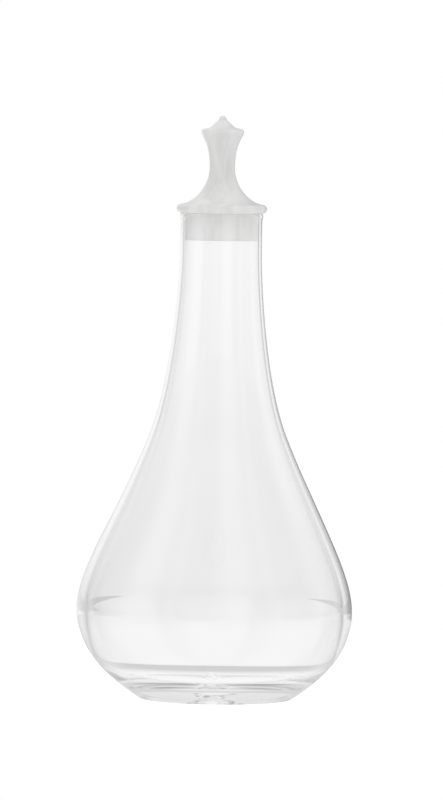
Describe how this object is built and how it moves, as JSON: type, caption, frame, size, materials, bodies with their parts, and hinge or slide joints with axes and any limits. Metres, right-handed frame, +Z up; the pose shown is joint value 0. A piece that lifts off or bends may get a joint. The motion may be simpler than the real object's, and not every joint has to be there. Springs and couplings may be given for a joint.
{
  "type": "genie bottle",
  "caption": "Pear-shaped clear glass bottle with a long flaring neck and a loose white glass stopper that plugs the mouth and ends in a waisted finial.",
  "frame": {"origin": "on the bottle's axis, in the plane that its foot rests on", "axes": "+Z up the bottle's axis to the stopper's tip, +X to the right and +Y away from the viewer of the picture"},
  "size_m": [0.1504, 0.1504, 0.3185],
  "materials": {
    "clear_glass": "clear colourless blown glass, fire-polished, gathered thick at the base",
    "white_glass": "white translucent glass with faint slanting streaks, satin outside"
  },
  "bodies": {
    "bottle": {"bottle": "clear_glass"},
    "stopper": {"stopper": "white_glass"}
  },
  "joints": [
    {"name": "stopper_lift", "type": "slide", "parent": "bottle", "child": "stopper", "axis": [0, 0, 1], "range_m": [0, 0.08]}
  ]
}
